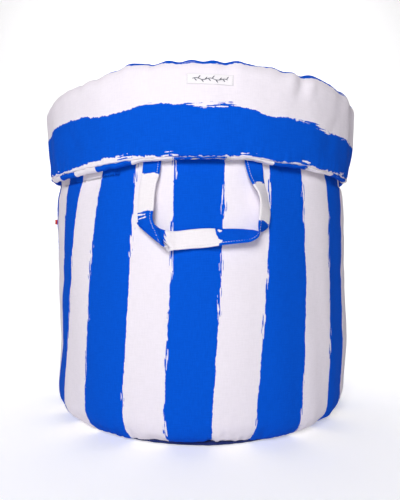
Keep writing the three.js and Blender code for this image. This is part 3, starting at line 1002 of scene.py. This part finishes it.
def folded(corner, coming, across, crease, radius, side):
    """Stations of a strap that folds over itself on a slanting crease.

    The strap's middle comes to the corner in one direction and wraps round the crease, which makes the given
    angle with it, to the side given. A station's third value is how far its cross line leans along the strap.
    """
    corner, coming, across = (np.array(v, float) for v in (corner, coming, across))
    coming /= np.linalg.norm(coming)
    across -= across.dot(coming) * coming
    across /= np.linalg.norm(across)
    c, s = math.cos(math.radians(crease)), math.sin(math.radians(crease))
    line = c * coming + s * across
    ahead = (coming - c * line) / s
    over = side * np.cross(coming, across)
    stations = []
    for back in (10.0, 7.0, 4.5, 2.5, 1.0):
        stations.append((tuple(corner - coming * back), tuple(across), c / s * (1 - back / LEAN_SPREAD)))
    for turn in np.linspace(0, math.pi, 7):
        wrap = math.sin(turn) * ahead + (1 - math.cos(turn)) * over
        middle = corner + radius * (wrap + c / s * turn * line)
        along = c * line + s * (math.cos(turn) * ahead + math.sin(turn) * over)
        stations.append((tuple(middle), tuple((line - c * along) / s), c / s))
    going = c * line - s * ahead
    last = stations[-1]
    for on in (1.5, 4.0):
        stations.append((tuple(np.array(last[0]) + going * on), last[1], c / s * (1 - on / LEAN_SPREAD)))
    return stations


LEFT_FOLD = folded((-57.4, 230.4, 254.2), (0.38, 0.08, -0.92), (0.80, 0.56, 0.15), 32.0, 1.5, 1)
# Where the strap hangs free: its middle (x, out from the axis, z), the direction across it, from its plain
# edge to its topstitched edge, and how far its cross line leans, if it does. The left leg comes down and
# folds over into the grip, and the grip twists up into the right leg.
HANGING = [
    ((-57.5, 220.4, 326), (0.955, 0.295, 0)),
    ((-60.7, 222.2, 312), (0.91, 0.41, 0)),
    ((-62.3, 224.2, 298), (0.90, 0.44, 0)),
    ((-62.8, 226.2, 284), (0.88, 0.48, 0)),
    ((-63.3, 228.4, 271), (0.81, 0.59, 0.02)),
    *LEFT_FOLD,
    ((-41.0, 232.2, 247.6), (0.10, 0.10, -0.98), 0.95),
    ((-34.5, 231.0, 246.4), (0.05, 0.24, -0.96), 0.45),
    ((-27, 229.4, 246.2), (0.00, 0.22, -0.97)),
    ((-13, 230.6, 247.6), (-0.02, 0.16, -0.98)),
    ((3, 231.0, 248.8), (-0.04, 0.12, -0.99)),
    ((22, 230.4, 250.2), (-0.05, 0.47, -0.88)),
    ((41, 228.4, 251.4), (-0.08, 0.62, -0.78)),
    ((56, 226.2, 252.2), (-0.14, 0.74, -0.66)),
    ((66.5, 227.0, 255.4), (-0.42, 0.80, -0.43)),
    ((71.8, 228.6, 264.0), (-0.62, 0.77, -0.10)),
    ((73.6, 227.8, 277), (-0.63, 0.78, 0)),
    ((73.4, 225.8, 290), (-0.53, 0.85, 0)),
    ((71.4, 223.8, 301), (-0.54, 0.84, 0)),
    ((66.6, 221.8, 314), (-0.75, 0.66, 0)),
    ((63.4, 220.6, 327), (-0.91, 0.41, 0)),
]
# Edges of the strap's stripes, in mm of cloth from the left sewn end, from white to blue first.
STRAP_EDGES = [-60.0, 58.3, 103.4, 150.5, 210.0, 272.0, 319.0, 440.0]
# Dry spots near those edges: (length along and place across, then half length and half width, all in mm)
STRAP_MARKS = [(108.6, -6.0, 1.5, 2.4), (108.9, 0.4, 1.2, 1.2), (213.5, 6.5, 2.2, 2.0),
               (214.0, -7.5, 2.4, 2.2), (275.5, 4, 1.5, 3.5), (315.0, 4, 1.4, 3.0)]
CROSS = 9  # points across each face of the strap


def handle_route(turn):
    """Stations of a handle's strap: middles and directions across, for a handle turned about the axis."""
    def sewn(degrees, heights, sign):
        stations = []
        for z in heights:
            proud = STRAP_THICK / 2 + 0.35 * MM
            point = on_shell.at(degrees + turn, on_shell.along_at(z * MM), proud)[0]
            a = math.radians(degrees)
            away = math.hypot(point[0], point[1])
            stations.append(((away * math.sin(a) / MM, away * math.cos(a) / MM, point[2] / MM),
                             (sign * math.cos(a), -sign * math.sin(a), 0)))
        return stations

    left = sewn(SEWN_LEFT, (381, 371, 361, 351, 341), 1)
    right = sewn(SEWN_RIGHT, (342, 352, 362, 372, 382), -1)
    stations = left + HANGING + right
    middles = np.array([(x, -out, z) for (x, out, z), *_ in stations]) * MM
    across = np.array([(x, -out, z) for _, (x, out, z), *_ in stations])
    lean = np.array([station[2] if len(station) > 2 else 0.0 for station in stations])
    return middles, across / np.linalg.norm(across, axis=1, keepdims=True), lean[:, None]


def spline(points, steps):
    """Catmull-Rom through points."""
    p = np.vstack([2 * points[0] - points[1], points, 2 * points[-1] - points[-2]])
    out = []
    for i in range(1, len(p) - 2):
        for t in np.arange(steps) / steps:
            a, b, c, d = p[i - 1], p[i], p[i + 1], p[i + 2]
            out.append(0.5 * (2 * b + (c - a) * t + (2 * a - 5 * b + 4 * c - d) * t * t
                              + (3 * b - a - 3 * c + d) * t ** 3))
    out.append(p[-2])
    return np.array(out)


class Strap:
    """A flat strap swept along a route: the frame at every station and points on its faces."""

    def __init__(self, turn):
        middles, across, lean = handle_route(turn)
        self.middle, wide, self.lean = spline(middles, 6), spline(across, 6), spline(lean, 6)
        along = np.gradient(self.middle, axis=0)
        along /= np.linalg.norm(along, axis=1, keepdims=True)
        wide -= (wide * along).sum(axis=1, keepdims=True) * along
        wide /= np.linalg.norm(wide, axis=1, keepdims=True)
        self.face = np.cross(wide, along)
        self.wide = wide + along * self.lean  # the cross line, which leans along the strap at a fold
        self.length = lengths(self.middle)
        self.turn = math.radians(turn)

    def turned(self, points):
        c, s = math.cos(self.turn), math.sin(self.turn)
        return points @ np.array([[c, s, 0], [-s, c, 0], [0, 0, 1]])

    def section(self):
        """The strap's outline: (across in metres, height in metres), round from the plain edge."""
        half = STRAP_WIDE / 2
        xs = np.linspace(-1, 1, CROSS) * (half - STRAP_THICK / 2 * 0.9)
        groove = half - TOPSTITCH_IN
        height = STRAP_THICK / 2 * (1 + 0.10 * (1 - (xs / half) ** 2))
        height -= 0.35 * MM * np.exp(-(((xs - groove) / MM) ** 2))
        top = list(zip(xs, height))
        edge = [(half - 0.35 * MM, STRAP_THICK * 0.24), (half, 0.0), (half - 0.35 * MM, -STRAP_THICK * 0.24)]
        bottom = [(x, -h) for x, h in top[::-1]]
        return top + edge + bottom + [(-x, -h) for x, h in edge]


def strap_piece(name, strap):
    """The strap's solid, its stripes and its dry spots."""
    section = strap.section()
    stations, k = len(strap.middle), len(section)
    lumps = ripple(stations, np.zeros(1), 9, 40, 121)[:, 0] * 0.25 * MM
    thicker = strap.face * (1 + lumps / STRAP_THICK * 1.5)[:, None]
    ring = np.stack([strap.middle + strap.wide * x + thicker * h for x, h in section], axis=1)
    points = strap.turned(ring).reshape(-1, 3)
    faces = tube_faces(stations, k)
    at = strap.length[:, None] / MM
    width_at = [x for x, _ in section]
    place = np.array(width_at)[None, :] / MM
    wave = 1.4 * np.sin(5 * place * MM / STRAP_WIDE + np.arange(stations)[:, None] * 0.02)
    distance = signed((at + strap.lean * place + wave)[..., None] - np.array(STRAP_EDGES))
    for length, aside, half_long, half_wide in STRAP_MARKS:
        inside = 1 - np.sqrt(((at - length) / half_long) ** 2 + ((place - aside) / half_wide) ** 2)
        distance = np.minimum(distance, -inside * half_long)
    uv = []
    for face in faces:
        uv += [(strap.length[q // k], width_at[q % k]) for q in face]
    return build(name, points, faces, distance, np.array(uv))


def bends(obj):
    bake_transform(obj)


TACK_FROM, TACK_TO = 4 * MM, 20 * MM  # from the strap's end
TACK_SHARE = 0.62  # of the strap's width


def box_tack(strap, stop, towards):
    """The square of stitches, with a cross, that holds a sewn end: lines of stitches on its outer face."""
    first, last = stop + TACK_FROM * towards, stop + TACK_TO * towards

    def point(share, across):
        s = first + (last - first) * share
        base, wide, face = (point_along(s, strap.length, f) for f in (strap.middle, strap.wide, strap.face))
        return base + wide * (across * TACK_SHARE * STRAP_WIDE / 2) + face * STRAP_THICK * 0.52

    corners = [(0, -1), (1, -1), (1, 1), (0, 1), (0, -1), (1, 1), (1, -1), (0, 1)]
    parts = []
    for (s0, a0), (s1, a1) in zip(corners, corners[1:]):
        line = [point(s0 + (s1 - s0) * t, a0 + (a1 - a0) * t) for t in np.linspace(0, 1, 12)]
        parts.append(running_stitches(line, "tack"))
    points, faces = joined(parts)
    return strap.turned(points), faces


for side, turn in (("front", 0.0), ("rear", 180.0)):
    strap = Strap(turn)
    piece = strap_piece(f"{side}_strap", strap)
    add_piece(piece, None, "strap_cotton",
              [f"{side}_handle_strap", f"{side}_handle_left_end", f"{side}_handle_right_end"])
    bends(piece)
    parts = []
    for proud in (1, -1):
        place = STRAP_WIDE / 2 - TOPSTITCH_IN
        line = strap.middle + strap.wide * place + strap.face * (proud * (STRAP_THICK / 2 - 0.15 * MM))
        out = strap.turned(strap.face * proud)
        parts.append(running_stitches(strap.turned(line), "topstitch", normals=out))
    thread = build(f"{side}_topstitching", *joined(parts))
    add_piece(thread, None, "thread", [f"{side}_handle_topstitch"])
    bends(thread)
    for end, stop, towards in (("left", 0.0, 1), ("right", float(strap.length[-1]), -1)):
        tack = build(f"{side}_{end}_box_tack", *box_tack(strap, stop, towards))
        add_piece(tack, "basket", "thread", [f"{side}_handle_{end}_tack"])


# ---- floor, light and camera ----
def stage_material(name, colour):
    """White paper that glows a little, more as it is seen than in what it throws on the basket."""
    made = Shader(name, roughness=0.9, sheen=0.0, specular=0.1)
    seen_first = made.node("ShaderNodeLightPath").outputs["Is Camera Ray"]
    glow = made.node("ShaderNodeMapRange")
    made.fill(glow, {"To Min": 0.09, "To Max": 0.36, "Value": seen_first})
    made.fill(made.bsdf, {"Base Color": colour, "Emission Color": (1, 1, 1, 1),
                          "Emission Strength": glow.outputs["Result"]})
    return made.material


def sweep():
    """Pale floor that curves up into a backdrop behind the basket."""
    line = [(-6.0, 0.0), (-2.0, 0.0), (1.2, 0.0)]
    line += [(1.2 + 1.2 * math.sin(a), 1.2 - 1.2 * math.cos(a)) for a in np.radians(np.linspace(10, 90, 9))]
    line += [(2.4, 6.0)]
    points = [(x, y, z) for y, z in line for x in (-8.0, 8.0)]
    faces = [[2 * n, 2 * n + 1, 2 * n + 3, 2 * n + 2] for n in range(len(line) - 1)]
    obj = build("floor_sweep", points, faces)
    obj.data.materials.append(stage_material("floor_white", (0.93, 0.93, 0.93, 1)))


sweep()


def area_light(name, place, target, size, power):
    data = bpy.data.lights.new(name, "AREA")
    data.shape, data.size, data.energy = "DISK", size, power
    lamp = bpy.data.objects.new(name, data)
    bpy.context.scene.collection.objects.link(lamp)
    lamp.location = place
    lamp.rotation_mode = "QUATERNION"
    lamp.rotation_quaternion = (Vector(target) - Vector(place)).to_track_quat("-Z", "Y")


middle = Vector((0, 0, TOP_Z / 2))
area_light("key", (-0.34, -2.15, 1.1), middle, 1.0, 38)
area_light("top", (-0.2, 0.4, 2.2), middle, 1.6, 4)
area_light("backdrop_light", (0, 0.9, 1.9), (0, 2.4, 0.6), 2.2, 30)

world = bpy.data.worlds.new("studio")
world.use_nodes = True
studio = world.node_tree
ambient = studio.nodes["Background"]
ambient.inputs["Color"].default_value = (1.0, 0.74, 1.0, 1)
ambient.inputs["Strength"].default_value = 0.045
pale = studio.nodes.new("ShaderNodeBackground")  # what the camera sees past the backdrop
pale.inputs["Color"].default_value = (0.93, 0.93, 0.94, 1)
seen = studio.nodes.new("ShaderNodeLightPath")
either = studio.nodes.new("ShaderNodeMixShader")
studio.links.new(seen.outputs["Is Camera Ray"], either.inputs[0])
studio.links.new(ambient.outputs[0], either.inputs[1])
studio.links.new(pale.outputs[0], either.inputs[2])
studio.links.new(either.outputs[0], studio.nodes["World Output"].inputs["Surface"])
bpy.context.scene.world = world
bpy.context.scene.view_settings.view_transform = "Standard"

# The camera's place, lens and shift are fitted to the photo's perspective.
camera_data = bpy.data.cameras.new("camera")
camera_data.lens = 31.68
camera_data.shift_x, camera_data.shift_y = -0.001, 0.034
camera_data.clip_start, camera_data.clip_end = 0.05, 50
camera = bpy.data.objects.new("camera", camera_data)
camera.location = (0, -0.731, 0.216)
camera.rotation_euler = (math.radians(90), 0, 0)
bpy.context.scene.collection.objects.link(camera)
bpy.context.scene.camera = camera

bpy.context.view_layer.update()
